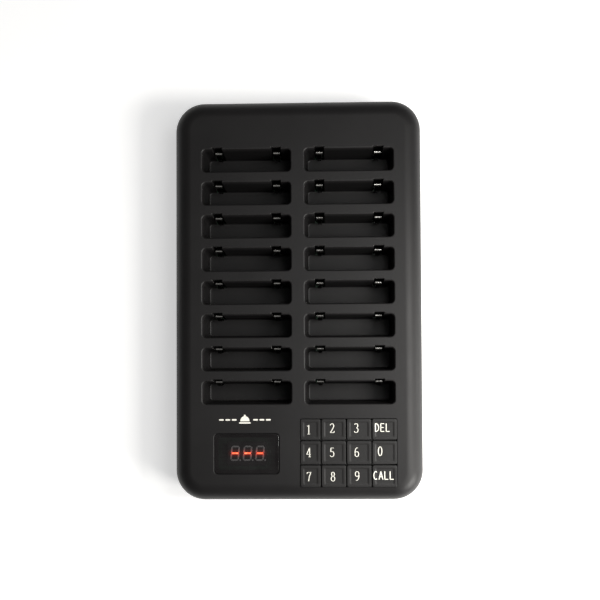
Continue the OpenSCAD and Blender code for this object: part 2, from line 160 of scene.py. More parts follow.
# Degrees of arc in a rounded mouth: just short of a right angle, so the cutter leaves the face cleanly
MOUTH_TURN = 86


def flared_levels(z0, deck, r, steps=6, over=1.0):
    """Levels of a cutter whose mouth at the deck is rounded by r."""
    levels = [(z0, 0)]
    for i in range(steps + 1):
        a = math.radians(MOUTH_TURN * i / steps)
        levels.append((deck - r * (1 - math.sin(a)), r * (1 - math.cos(a))))
    return levels + [(deck + over, levels[-1][1])]


def new_object(name, bm):
    """Turns a bmesh into a linked object, with its normals pointing outwards."""
    bmesh.ops.recalc_face_normals(bm, faces=bm.faces)
    mesh = bpy.data.meshes.new(name)
    bm.to_mesh(mesh)
    bm.free()
    made = bpy.data.objects.new(name, mesh)
    bpy.context.scene.collection.objects.link(made)
    return made


def prism(name, outline, levels, turn=UP):
    bm = bmesh.new()
    add_prism(bm, outline, levels, turn)
    return new_object(name, bm)


def applied(target):
    """Replaces an object's mesh with its evaluated one and clears the modifiers."""
    graph = bpy.context.evaluated_depsgraph_get()
    mesh = bpy.data.meshes.new_from_object(target.evaluated_get(graph))
    old = target.data
    target.modifiers.clear()
    target.data = mesh
    bpy.data.meshes.remove(old)
    return target


def combine(target, bm, operation):
    """Adds or cuts the solids in bm, which don't overlap one another, to or from target."""
    tool = new_object("tool", bm)
    step = target.modifiers.new("combine", "BOOLEAN")
    step.operation = operation
    step.solver = "MANIFOLD"
    step.object = tool
    applied(target)
    bpy.data.objects.remove(tool)
    return target


def cut(target, bm):
    return combine(target, bm, "DIFFERENCE")


def join(target, bm):
    return combine(target, bm, "UNION")


def smooth(piece, angle=32, weighted=True):
    """Smooth shading that keeps sharp edges and flat faces flat."""
    piece.data.shade_smooth()
    piece.data.set_sharp_from_angle(angle=math.radians(angle))
    if weighted:
        step = piece.modifiers.new("normals", "WEIGHTED_NORMAL")
        step.keep_sharp = True
        step.weight = 100
    return piece


def soften(piece, width, segments=2, angle=35):
    """Rounds the edges of a CAD node or piece by a modifier."""
    step = piece.modifiers.new("edges", "BEVEL")
    step.width = width * MM
    step.segments = segments
    step.limit_method = "ANGLE"
    step.angle_limit = math.radians(angle)
    step.use_clamp_overlap = True
    return piece


def place(piece, material, body=ROOT, nodes=()):
    """Gives a piece its material and body, and the CAD nodes it stands for."""
    piece.data.materials.clear()
    piece.data.materials.append(material)
    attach(piece, body)
    if nodes:
        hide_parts(*nodes)
    return piece


# ------------------------------------------------------------------ materials

class Nodes:
    """A short way to write a material's node tree round one Principled shader."""

    def __init__(self, name):
        self.material = bpy.data.materials.new(name)
        self.material.use_nodes = True
        self.tree = self.material.node_tree
        self.shader = self.tree.nodes["Principled BSDF"]
        self.place = self.add("ShaderNodeTexCoord").outputs["Object"]

    def add(self, kind, **inputs):
        node = self.tree.nodes.new(kind)
        for key, value in inputs.items():
            self.feed(node.inputs[key.replace("_", " ")], value)
        return node

    def feed(self, socket, value):
        if isinstance(value, bpy.types.NodeSocket):
            self.tree.links.new(value, socket)
        else:
            socket.default_value = value

    def set(self, **inputs):
        for key, value in inputs.items():
            self.feed(self.shader.inputs[key.replace("_", " ")], value)

    def noise(self, scale, detail=3.0, roughness=0.55):
        return self.add("ShaderNodeTexNoise", Vector=self.place, Scale=scale, Detail=detail,
                        Roughness=roughness).outputs["Fac"]

    def span(self, value, low, high, start=0.3, end=0.7):
        """Maps start..end of a value to low..high."""
        node = self.add("ShaderNodeMapRange", Value=value, From_Min=start, From_Max=end,
                        To_Min=low, To_Max=high)
        return node.outputs["Result"]

    def colours(self, value, dark, light, start=0.3, end=0.7):
        ramp = self.add("ShaderNodeValToRGB", Fac=value)
        ramp.color_ramp.elements[0].position = start
        ramp.color_ramp.elements[0].color = (*dark, 1)
        ramp.color_ramp.elements[1].position = end
        ramp.color_ramp.elements[1].color = (*light, 1)
        return ramp.outputs["Color"]

    def math(self, operation, a, b):
        node = self.add("ShaderNodeMath")
        node.operation = operation
        self.feed(node.inputs[0], a)
        self.feed(node.inputs[1], b)
        return node.outputs[0]

    def bump(self, height, distance, strength=1.0, normal=None):
        node = self.add("ShaderNodeBump", Height=height, Distance=distance, Strength=strength)
        if normal is not None:
            self.feed(node.inputs["Normal"], normal)
        return node.outputs["Normal"]


def moulded(name, colour, roughness=0.6, grain=2600.0, depth=0.00003, specular=0.5):
    """Spark-eroded moulded plastic: a fine grain, faint rubbed patches and a little dust."""
    n = Nodes(name)
    patches = n.noise(22.0, 4.0)
    fine = n.noise(grain, 2.0, 0.6)
    speck = n.noise(900.0, 1.0, 0.4)
    dark = tuple(c * 0.86 for c in colour)
    light = tuple(c * 1.16 for c in colour)
    tone = n.math("ADD", n.math("MULTIPLY", patches, 0.75), n.math("MULTIPLY", fine, 0.25))
    n.set(Base_Color=n.colours(tone, dark, light), Specular_IOR_Level=specular)
    rough = n.math("ADD", n.span(patches, roughness - 0.035, roughness + 0.035),
                   n.span(speck, -0.02, 0.02))
    n.set(Roughness=rough)
    swell = n.bump(n.noise(60.0, 2.0), 0.00004, 0.35)
    n.set(Normal=n.bump(fine, depth, 0.55, swell))
    return n.material


def printed(name, colour):
    """Pad-printed ink: slightly uneven and a little worn."""
    n = Nodes(name)
    wear = n.noise(700.0, 4.0, 0.7)
    n.set(Base_Color=n.colours(wear, tuple(c * 0.8 for c in colour), colour, 0.3, 0.5))
    n.set(Roughness=n.span(wear, 0.5, 0.38))
    n.set(Normal=n.bump(wear, 0.00001, 0.4))
    return n.material


def plated(name, colour, roughness=0.16, painted_shade_below=0):
    """Bright plated spring strip with drawing lines; if a height is given, the strip below it is painted
    near-black as painted shade.
    """
    n = Nodes(name)
    stretch = n.add("ShaderNodeMapping", Vector=n.place, Scale=(9000.0, 500.0, 500.0))
    lines = n.add("ShaderNodeTexNoise", Vector=stretch.outputs["Vector"], Scale=1.0, Detail=2.0)
    tarnish = n.noise(350.0, 3.0)
    bright = n.colours(tarnish, tuple(c * 0.82 for c in colour), colour)
    # Painted shade: below the given height the strip is coloured near-black, standing in for the shade deep
    # in the slot.
    if painted_shade_below:
        height = n.add("ShaderNodeSeparateXYZ", Vector=n.place).outputs["Z"]
        depth = n.span(height, 0.0, 1.0, (painted_shade_below - 1.2) * MM, painted_shade_below * MM)
        painted_shade_colour = n.colours(tarnish, (0.010, 0.010, 0.009), (0.022, 0.021, 0.019))
        mix = n.tree.nodes.new("ShaderNodeMix")
        mix.data_type = "RGBA"
        n.feed(mix.inputs["Factor"], depth)
        n.feed(mix.inputs[6], painted_shade_colour)
        n.feed(mix.inputs[7], bright)
        bright = mix.outputs[2]
    n.set(Base_Color=bright, Metallic=1.0)
    n.set(Roughness=n.span(lines.outputs["Fac"], roughness - 0.05, roughness + 0.1))
    n.set(Normal=n.bump(lines.outputs["Fac"], 0.000006, 0.3))
    return n.material


def smoked(name):
    """Smoked acrylic window: dark, glossy, with faint hairlines, and the digits show through."""
    n = Nodes(name)
    haze = n.noise(120.0, 3.0)
    n.set(Base_Color=n.colours(haze, (0.012, 0.0105, 0.011), (0.018, 0.0165, 0.017)), Alpha=0.45)
    n.set(Roughness=n.span(n.noise(1800.0, 2.0), 0.12, 0.2), IOR=1.49)
    n.set(Normal=n.bump(n.noise(45.0, 2.0), 0.00002, 0.25))
    return n.material


def rubber(name, colour, roughness=0.75):
    """Matt rubber or silicone with a little dust."""
    n = Nodes(name)
    dust = n.noise(260.0, 4.0, 0.65)
    n.set(Base_Color=n.colours(dust, colour, tuple(c * 1.5 + 0.01 for c in colour), 0.4, 0.8))
    n.set(Roughness=n.span(dust, roughness - 0.06, roughness + 0.1))
    n.set(Normal=n.bump(n.noise(3000.0, 2.0), 0.00004, 0.5))
    return n.material


def lacquered_board(name):
    """Green solder mask over copper tracks, with drilled pads."""
    n = Nodes(name)
    tracks = n.add("ShaderNodeTexBrick", Vector=n.place, Scale=90.0, Mortar_Size=0.03)
    copper = tracks.outputs["Fac"]
    n.set(Base_Color=n.colours(copper, (0.004, 0.022, 0.011), (0.010, 0.050, 0.024), 0.2, 0.9))
    n.set(Roughness=n.span(n.noise(800.0), 0.28, 0.42), Specular_IOR_Level=0.6)
    n.set(Normal=n.bump(copper, 0.00003, 0.5))
    return n.material


MATERIALS = {
    "housing": moulded("textured_black_abs", (0.0069, 0.0064, 0.0066), 0.5, specular=0.27),
    "tray": moulded("textured_black_abs_tray", (0.0068, 0.0063, 0.0065), 0.5, 2200.0, specular=0.27),
    "key_plastic": moulded("key_black_abs", (0.0080, 0.0075, 0.0075), 0.47, 3200.0, 0.00002, 0.3),
    "legend_print": printed("legend_ink", (0.82, 0.80, 0.72)),
    # The contacts' plating is painted near-black below BEND_Z, as painted shade for the deep slot.
    "contact_plating": plated("nickel_plate_and_painted_shade", (0.86, 0.84, 0.79), 0.2, BEND_Z),
    "smoked_lens": smoked("smoked_acrylic"),
    "foot_rubber": rubber("foot_rubber", (0.016, 0.016, 0.016)),
    "silicone": rubber("silicone_black", (0.012, 0.012, 0.012), 0.6),
    "board": lacquered_board("solder_mask"),
    "part_black": moulded("epoxy_black", (0.016, 0.016, 0.018), 0.45, 1800.0),
    "part_metal": plated("tin_plate", (0.66, 0.66, 0.67), 0.3),
    "screw_steel": plated("zinc_plate", (0.55, 0.55, 0.57), 0.32),
    "aerial_wire": plated("copper_wire", (0.75, 0.45, 0.2), 0.25),
    "cable_grey": moulded("ribbon_grey", (0.42, 0.42, 0.40), 0.5, 900.0),
    "socket_black": moulded("socket_black", (0.010, 0.010, 0.010), 0.42, 1500.0, 0.00001),
}


# ------------------------------------------------------------------ top housing

def shell_outline(inset):
    """The body's outline seen from above, drawn in by inset."""
    w, l = BODY_W / 2 - inset, BODY_L / 2 - inset
    return rect_outline(-w, w, -l, l, CORNER_R - inset, steps=14)


def well_outline(cx, cy):
    """Outline of a well at depth d below the deck, grown by g. The levels pass (d, g)."""
    def loop(level):
        d, g = level
        share = d / SLOT_D
        half = SLOT_W / 2 - SIDE_DRAFT * share
        near = -SLOT_H / 2 + NEAR_DRAFT * share
        far = SLOT_H / 2 - FAR_DRAFT * share
        return rounded_loop(cx - half - g, cx + half + g, cy + near - g, cy + far + g,
                            max(SLOT_R + g, 0.6), 8)
    return loop


def well_levels():
    """Floor fillet, drafted wall, round lip."""
    steps = 5
    levels = []
    for i in range(steps, 0, -1):
        a = math.radians(90 * i / steps)
        levels.append((SLOT_D - FLOOR_R * (1 - math.sin(a)), -FLOOR_R * (1 - math.cos(a))))
    levels += [(SLOT_D - FLOOR_R, 0), (LIP_R * 2, 0)]
    for z, g in flared_levels(0, 0, LIP_R, 7)[1:]:
        levels.append((-z, g))
    return [(DECK - d, (d, g)) for d, g in levels]


def contact_middles(cx):
    return (cx - NOTCH_X, cx + NOTCH_X)


BOSS_R, PILOT_R, PILOT_D = 3.5, 1.3, 14
PILLAR_R, PILLAR_L = 2.1, 8.4
REBATE_D = 2.2


def make_top_housing():
    shell = prism("top_housing_shell", shell_outline(0),
                  [(SEAM, -0.25), (SEAM + 0.25, 0)] + rounded_levels(SEAM, DECK, 0, EDGE_R, 14)[1:])
    inner = bmesh.new()
    add_prism(inner, shell_outline(WALL),
              [(SEAM - 1, 0)] + rounded_levels(SEAM, DECK - WALL, 0, EDGE_R - WALL, 10)[1:])
    cut(shell, inner)
    walls = bmesh.new()
    for cx, cy in SLOTS.values():
        half, deep = SLOT_W / 2 + WELL_WALL, SLOT_H / 2 + WELL_WALL
        add_prism(walls, rect_outline(cx - half, cx + half, cy - deep, cy + deep, 1.2, 3),
                  [(DECK - SLOT_D - WELL_WALL, 0), (DECK - WALL / 2, 0)])
    join(shell, walls)
    for side in (0, 1):
        backs = bmesh.new()
        for cx, cy in SLOTS.values():
            x = contact_middles(cx)[side]
            half = NOTCH_W / 2 + CHANNEL_WALL
            add_prism(backs, rect_outline(x - half, x + half, cy, cy + SLOT_H / 2 + CHANNEL_D
                                          + CHANNEL_WALL, 0.5, 2),
                      [(DECK - SLOT_D - WELL_WALL + 0.01, 0), (DECK - WALL / 2 + 0.01, 0)])
        join(shell, backs)
    bosses = bmesh.new()
    for x, y in CASE_SCREWS:
        add_prism(bosses, circle_outline(x, y, BOSS_R), [(SEAM, 0), (DECK - WALL + 0.3, 0)])
    for x, y in CONTROL_PILLARS:
        add_prism(bosses, circle_outline(x, y, PILLAR_R, 20), [(DECK - PILLAR_L, 0), (DECK - WALL + 0.5, 0)])
    join(shell, bosses)

    wells = bmesh.new()
    for cx, cy in SLOTS.values():
        add_prism(wells, well_outline(cx, cy), well_levels())
    cut(shell, wells)
    notches, channels = bmesh.new(), bmesh.new()
    for cx, cy in SLOTS.values():
        for x in contact_middles(cx):
            far = cy + SLOT_H / 2
            add_prism(notches, rect_outline(x - NOTCH_W / 2, x + NOTCH_W / 2, far - 2.6,
                                            far + NOTCH_D, 0.45, 4),
                      flared_levels(DECK - WALL - 0.6, DECK, 0.45, 5))
            add_prism(channels, rect_outline(x - NOTCH_W / 2 + 0.02, x + NOTCH_W / 2 - 0.02,
                                             far - FAR_DRAFT - 0.5, far + CHANNEL_D, 0.2, 2),
                      [(CHANNEL_Z, 0), (DECK - WALL - 0.2, 0)])
    cut(shell, notches)
    cut(shell, channels)

    x0, x1, y0, y1, z0, _ = WINDOW
    gap = 0.1
    frame_cut = bmesh.new()
    add_prism(frame_cut, rect_outline(x0 - gap, x1 + gap, y0 - gap, y1 + gap, 2.4),
              flared_levels(z0, DECK, 0.5))
    cut(shell, frame_cut)
    opening = bmesh.new()
    add_prism(opening, rect_outline(x0 + 2.5, x1 - 2.5, y0 + 2.5, y1 - 2.5, 2),
              [(DECK - WALL - 1, 0), (z0 + 0.5, 0)])
    x0, x1, y0, y1 = keypad_box()
    add_prism(opening, rect_outline(x0, x1, y0, y1, 1.2), flared_levels(DECK - WALL - 1, DECK, 0.2))
    cut(shell, opening)

    pilots = bmesh.new()
    for x, y in CASE_SCREWS:
        add_prism(pilots, circle_outline(x, y, PILOT_R, 20), [(SEAM - 1, 0), (SEAM + PILOT_D, 0)])
    cut(shell, pilots)
    rebate = bmesh.new()
    add_prism(rebate, shell_outline(WALL / 2 + 0.1), [(SEAM - 1, 0), (SEAM + REBATE_D, 0)])
    keep = bmesh.new()
    add_prism(keep, shell_outline(WALL + 1), [(SEAM - 2, 0), (SEAM + 3, 0)])
    ring = new_object("ring", rebate)
    cut(ring, keep)
    ring_mesh = bmesh.new()
    ring_mesh.from_mesh(ring.data)
    bpy.data.objects.remove(ring)
    cut(shell, ring_mesh)
    return place(smooth(shell), MATERIALS["housing"], nodes=["top_housing"])


def keypad_box():
    """The opening that the twelve keys fill: x0, x1, y0, y1."""
    boxes = [box_mm(f"key_{k}") for k in KEY_NAMES]
    gap = 0.4
    return (min(b[0] for b in boxes) - gap, max(b[1] for b in boxes) + gap,
            min(b[2] for b in boxes) - gap, max(b[3] for b in boxes) + gap)


# ------------------------------------------------------------------ bottom housing

POST_R, CHARGING_POST_R, CHARGING_POST_L = 5, 3, 5
HEAD_R, SHANK_R, FOOT_R, FOOT_SINK = 3.4, 1.7, 7.1, 1.2
VENT_L, VENT_W, VENT_PITCH, VENT_Y, VENTS = 28, 2, 7, 40, 9
GRILLE_W, GRILLE_PITCH, GRILLE_Y, GRILLE_L, GRILLES = 1.2, 2.5, -98, 12, 5


def make_bottom_housing():
    tray = prism("bottom_housing_tray", shell_outline(0),
                 rounded_levels(TRAY_Z, SEAM - 0.6, LOWER_R, 0, 10)[:-1]
                 + [(SEAM - 0.85, 0), (SEAM - 0.6, -0.25), (SEAM - 0.6, -0.5), (SEAM, -0.5)])
    rim = bmesh.new()
    add_prism(rim, shell_outline(WALL - 0.9), [(SEAM - 1, 0), (SEAM + 2, 0)])
    join(tray, rim)
    inner = bmesh.new()
    add_prism(inner, shell_outline(WALL), [(TRAY_Z + WALL, 0), (SEAM + 3, 0)])
    cut(tray, inner)

    posts = bmesh.new()
    for x, y in CASE_SCREWS:
        add_prism(posts, circle_outline(x, y, POST_R), [(TRAY_Z + WALL / 2, 0), (SEAM - 0.1, 0)])
    for x, y in CHARGING_PILLARS:
        add_prism(posts, circle_outline(x, y, CHARGING_POST_R),
                  [(TRAY_Z + WALL / 2, 0), (TRAY_Z + WALL + CHARGING_POST_L, 0)])
    x0, x1, z0, z1 = rear_pocket()
    add_prism(posts, rect_outline(x0 - 2, x1 + 2, REAR - WALL - 2, REAR - WALL / 2, 0.3, 2),
              [(TRAY_Z + WALL / 2, 0), (SEAM - 1.2, 0)])
    join(tray, posts)

    holes = bmesh.new()
    for x, y in CASE_SCREWS:
        add_prism(holes, circle_outline(x, y, HEAD_R), down_levels(HEAD_Z, TRAY_Z, 0.4))
        add_prism(holes, circle_outline(x, y, SHANK_R, 24), [(HEAD_Z + 0.01, 0), (SEAM + 1, 0)])
    for x, y in FEET:
        add_prism(holes, circle_outline(x, y, FOOT_R, 48), down_levels(TRAY_Z + FOOT_SINK, TRAY_Z, 0.3))
    for x in COLUMN_X:
        for i in range(VENTS):
            y = VENT_Y + (i - VENTS // 2) * VENT_PITCH
            add_prism(holes, rect_outline(x - VENT_L / 2, x + VENT_L / 2, y - VENT_W / 2, y + VENT_W / 2,
                                          0.9, 5), down_levels(TRAY_Z + WALL + 1, TRAY_Z, 0.35))
    for i in range(GRILLES):
        x = (i - GRILLES // 2) * GRILLE_PITCH
        add_prism(holes, rect_outline(x - GRILLE_W / 2, x + GRILLE_W / 2, GRILLE_Y - GRILLE_L / 2,
                                      GRILLE_Y + GRILLE_L / 2, 0.55, 5),
                  down_levels(TRAY_Z + WALL + 1, TRAY_Z, 0.25))
    cut(tray, holes)

    # openings in the rear wall: drawn flat in X and Z, then turned to look along +Y
    turn = Matrix(((1, 0, 0, 0), (0, 0, 1, 0), (0, 1, 0, 0), (0, 0, 0, 1)))
    ports = bmesh.new()
    inlet = box_mm("power_inlet")
    add_prism(ports, rect_outline(inlet[0] - 0.2, inlet[1] + 0.2, inlet[4] - 0.1, inlet[5] + 0.2, 0.5, 4),
              flared_levels(REAR - WALL - 1, REAR, 0.4, 4), turn)
    add_prism(ports, rect_outline(x0, x1, z0, z1, 1.0, 5),
              flared_levels(REAR - 1.8, REAR, 0.4, 4), turn)
    cut(tray, ports)
    sleeve = bmesh.new()
    middle = (z0 + z1) / 2
    add_prism(sleeve, rect_outline((x0 + x1) / 2 - 7.5, (x0 + x1) / 2 + 7.5, middle - 4.8, middle + 4.8,
                                   0.3, 2), [(REAR - WALL - 3, 0), (REAR - 1, 0)], turn)
    cut(tray, sleeve)
    return place(smooth(tray), MATERIALS["tray"], nodes=["bottom_housing"])


def rear_pocket():
    """The shallow pocket round the power switch: x0, x1, z0, z1."""
    b = box_mm("switch_frame")
    return b[0] - 0.2, b[1] + 0.2, b[4] - 0.2, b[5] + 0.2


def down_levels(z_top, face, r, steps=4):
    """Levels of a hole that opens downwards at face, with its mouth rounded by r."""
    levels = []
    for i in range(steps, -1, -1):
        a = math.radians(MOUTH_TURN * i / steps)
        levels.append((face + r * (1 - math.sin(a)), r * (1 - math.cos(a))))
    return [(face - 1, levels[0][1])] + levels + [(z_top, 0)]


# ------------------------------------------------------------------ keys and legends

KEY_R, KEY_EDGE = 1.1, 0.22
KEY_SKIRT, STEM_R = 3.4, 1.8
DISH_AT, DISH_D, DISH_SLOPE = 2.1, 0.2, 1.4
OUTER_FIT = 0.15


def key_rim(name):
    """Outline of a key cap in plan. Caps at the rim of the opening reach a little further out."""
    x0, x1, y0, y1, _, _ = box_mm(f"key_{name}")
    index = KEY_NAMES.index(name)
    return (x0, x1 + (OUTER_FIT if index % 4 == 3 else 0), y0 - (OUTER_FIT if index > 7 else 0),
            y1 + (OUTER_FIT if index < 4 else 0))


def key_top(name):
    """Height of a cap's rim, a little under the CAD so that the print stays within it."""
    return box_mm(f"key_{name}")[5] - PRINT_T


def dish_drop(inset):
    """Depth of the shallow dish at a distance inset from the cap's edge."""
    t = (inset - DISH_AT + DISH_SLOPE / 2) / DISH_SLOPE
    return DISH_D * (0.5 - 0.5 * math.cos(math.pi * min(max(t, 0), 1)))


def make_key(name):
    node = f"key_{name}"
    x0, x1, y0, y1 = key_rim(name)
    z0, z1 = box_mm(node)[4], key_top(name)
    plate_z = z1 - KEY_SKIRT
    levels = [(plate_z, -0.3), (plate_z + 0.3, 0)]
    levels += rounded_levels(plate_z, z1, 0, KEY_EDGE, 5)[1:]
    for i in range(9):
        inset = DISH_AT - DISH_SLOPE / 2 + DISH_SLOPE * i / 8
        levels.append((z1 - dish_drop(inset), -inset))
    key = prism(f"{node}_cap", rect_outline(x0, x1, y0, y1, KEY_R, 6, 0.9), levels)
    stem = bmesh.new()
    add_prism(stem, circle_outline((x0 + x1) / 2, (y0 + y1) / 2, STEM_R, 24), [(z0, 0), (plate_z + 1, 0)])
    join(key, stem)
    return place(smooth(key), MATERIALS["key_plastic"], node, [node])


# Each glyph is a list of strokes in a box one unit high and about half as wide
TALL = 0.97
FOOT = 0.03


def serif(x, y, half):
    """A short level stroke across the foot of a digit."""
    return [(x - half, y), (x + half, y)]


GLYPHS = {
    "0": [arc(0.25, 0.5, 0.185, 0.46, 0, 360, 28)],
    "1": [[(0.11, 0.83), (0.2, 0.88), (0.27, TALL)], [(0.27, TALL), (0.27, FOOT)], serif(0.27, FOOT, 0.14)],
    "2": [arc(0.24, 0.73, 0.18, 0.235, 165, -25, 14) + [(0.3, 0.42), (0.07, 0.06)],
          [(0.05, 0.045), (0.44, 0.045), (0.47, 0.2)]],
    "3": [arc(0.22, 0.74, 0.17, 0.22, 155, -80, 14), arc(0.21, 0.275, 0.205, 0.25, 85, -155, 16)],
    "4": [[(0.34, TALL), (0.04, 0.29), (0.48, 0.29)], [(0.345, TALL), (0.345, FOOT)],
          serif(0.345, FOOT, 0.12)],
    "5": [[(0.1, 0.94), (0.42, 0.94)], [(0.12, 0.94), (0.1, 0.54)],
          arc(0.22, 0.31, 0.2, 0.275, 125, -150, 18)],
    "6": [arc(0.3, 0.42, 0.235, 0.52, 72, 190, 14), arc(0.26, 0.29, 0.185, 0.26, 0, 360, 24)],
    "7": [[(0.06, 0.78), (0.08, 0.93), (0.45, 0.93), (0.28, 0.5), (0.22, FOOT)]],
    "8": [arc(0.25, 0.745, 0.15, 0.205, 0, 360, 22), arc(0.25, 0.28, 0.185, 0.25, 0, 360, 24)],
    "9": [arc(0.2, 0.58, 0.235, 0.52, 252, 370, 14), arc(0.24, 0.71, 0.185, 0.26, 0, 360, 24)],
    "D": [[(0.07, 0.95), (0.07, 0.05)], [(0.07, 0.95), (0.13, 0.95)] + arc(0.14, 0.5, 0.3, 0.45, 90, -90, 16)
          + [(0.07, 0.05)]],
    "E": [[(0.07, 0.97), (0.07, FOOT)], [(0.07, 0.95), (0.46, 0.95)], [(0.07, 0.51), (0.4, 0.51)],
          [(0.07, 0.05), (0.47, 0.05)]],
    "L": [[(0.08, 0.97), (0.08, FOOT)], [(0.08, 0.05), (0.48, 0.05)]],
    "C": [arc(0.27, 0.5, 0.22, 0.45, 52, 308, 22)],
    "A": [[(0.03, FOOT), (0.25, 0.96), (0.47, FOOT)], [(0.12, 0.34), (0.38, 0.34)]],
}
DIGIT_PEN = (0.082, 0.044)
WORD_PEN = (0.1, 0.085)
LEGEND_H, WORD_H, LETTER_STEP = 6.5, 5.8, 3.57


def pen_width(pen, direction):
    """A broad pen: upright strokes are thick, level ones thin."""
    return pen[1] + (pen[0] - pen[1]) * abs(direction.y) ** 1.5


def resampled(points, step):
    """The same line with no piece longer than step, so that it can follow a surface."""
    line = [Vector(points[0])]
    for p in points[1:]:
        start, end = line[-1].copy(), Vector(p)
        parts = max(1, math.ceil((end - start).length / step))
        line += [start.lerp(end, i / parts) for i in range(1, parts + 1)]
    return line


def add_ribbon(bm, points, width, surface, closed=False):
    """Adds a thin closed solid along a line on a surface. width(direction) and surface(x, y) are in mm."""
    points = [Vector(p) for p in points]
    if closed:
        points = points[:-1]
    n = len(points)
    rows = []
    for i, p in enumerate(points):
        before = points[i - 1] if closed or i else p
        after = points[(i + 1) % n] if closed or i < n - 1 else p
        along = (after - before).normalized()
        side = Vector((-along.y, along.x)) * width(along) / 2
        edges = [p + side, p - side]
        rows.append([bm.verts.new(Vector((*e, surface(*e) + lift)) * MM) for e in edges
                     for lift in (-SUNK, PRINT_T)])
    pairs = list(zip(rows, rows[1:])) + ([(rows[-1], rows[0])] if closed else [])
    for a, b in pairs:
        for i, j in ((0, 1), (1, 3), (3, 2), (2, 0)):
            bm.faces.new((a[i], a[j], b[j], b[i]))
    if not closed:
        bm.faces.new((rows[0][0], rows[0][1], rows[0][3], rows[0][2]))
        bm.faces.new((rows[-1][2], rows[-1][3], rows[-1][1], rows[-1][0]))


def add_legend(bm, text, cx, cy, surface):
    """Adds a digit or a word in the strokes above, centred on (cx, cy)."""
    word = len(text) > 1
    tall, pen = (WORD_H, WORD_PEN) if word else (LEGEND_H, DIGIT_PEN)
    width = LETTER_STEP * (len(text) - 1) + 0.5 * tall
    for k, letter in enumerate(text):
        x, y = cx + k * LETTER_STEP - width / 2, cy - tall / 2
        for stroke in GLYPHS[letter]:
            points = resampled([(x + px * tall, y + py * tall) for px, py in stroke], 0.45)
            ring = (points[0] - points[-1]).length < 1e-6
            add_ribbon(bm, points, lambda d: pen_width(pen, d) * tall, surface, ring)


# How far each legend is printed from the middle of its key
LEGEND_SHIFT = {
    "1": (-1.2, 0.0), "2": (-1.0, 0.9), "3": (-1.7, 1.0), "del": (-1.4, 1.2),
    "4": (-1.2, 0.2), "5": (-1.0, 0.2), "6": (-1.6, 0.3), "0": (-3.0, 0.8),
    "7": (-1.1, -0.3), "8": (-0.6, -0.3), "9": (-1.4, 0.0), "call": (-0.8, 0.4),
}


def make_legend(name):
    x0, x1, y0, y1, _, _ = box_mm(f"key_{name}")
    left, right, bottom, top = key_rim(name)
    dx, dy = LEGEND_SHIFT[name]

    def surface(x, y):
        return key_top(name) - dish_drop(min(x - left, right - x, y - bottom, top - y))

    bm = bmesh.new()
    add_legend(bm, name.upper(), (x0 + x1) / 2 + dx, (y0 + y1) / 2 + dy, surface)
    legend = new_object(f"legend_{name}", bm)
    return place(legend, MATERIALS["legend_print"], f"key_{name}")


# ------------------------------------------------------------------ display

SEGMENT_T = 0.12
DIGIT_H, DIGIT_W, DIGIT_PITCH, STROKE = 10.2, 5.9, 8.4, 1.05
SLANT = math.tan(math.radians(5))


def segment_outline(cx, cy, length, upright):
    """A six-sided bar with pointed ends; upright bars lean with the digit."""
    def loop(g):
        h, s = length / 2 + g, STROKE / 2 + g
        flat = [(-h, 0), (-h + s, -s), (h - s, -s), (h, 0), (h - s, s), (-h + s, s)]
        if upright:
            flat = [(-y, x) for x, y in flat]
        return [(cx + x + (cy + y - DIGIT_MIDDLE[1]) * SLANT, cy + y) for x, y in flat]
    return loop


DIGIT_MIDDLE = ((WINDOW[0] + WINDOW[1]) / 2 + 0.4, (WINDOW[2] + WINDOW[3]) / 2 + 0.2)
DIGIT_XS = [DIGIT_MIDDLE[0] + i * DIGIT_PITCH for i in (-1, 0, 1)]


def unlit_glow(name, colour, roughness, strength):
    """Black face or dull segment that takes a red glow from the lit bar of its own digit."""
    n = Nodes(name)
    n.set(Base_Color=n.colours(n.noise(900.0), tuple(c * 0.85 for c in colour), colour))
    n.set(Roughness=n.span(n.noise(1500.0), roughness - 0.05, roughness + 0.05))
    n.set(Normal=n.bump(n.noise(2500.0), 0.00002, 0.3))
    split = n.add("ShaderNodeSeparateXYZ", Vector=n.place)
    total = None
    for x in DIGIT_XS:
        dx = n.math("MULTIPLY", n.math("SUBTRACT", split.outputs["X"], x * MM), 1 / (3.0 * MM))
        dy = n.math("MULTIPLY", n.math("SUBTRACT", split.outputs["Y"], DIGIT_MIDDLE[1] * MM),
                    1 / (1.7 * MM))
        far = n.math("ADD", n.math("MULTIPLY", dx, dx), n.math("MULTIPLY", dy, dy))
        glow = n.math("POWER", 2.718, n.math("MULTIPLY", far, -1.0))
        total = glow if total is None else n.math("ADD", total, glow)
    n.set(Emission_Color=(1.0, 0.05, 0.02, 1), Emission_Strength=n.math("MULTIPLY", total, strength))
    return n.material


def lit_bar(name):
    """Lit red bar, hotter in its middle."""
    n = Nodes(name)
    hot = n.noise(420.0, 1.0)
    n.set(Base_Color=(0.5, 0.04, 0.02, 1), Roughness=n.span(hot, 0.3, 0.45))
    n.set(Emission_Color=n.colours(hot, (1.0, 0.055, 0.02), (1.0, 0.16, 0.07)), Emission_Strength=9.0)
    return n.material


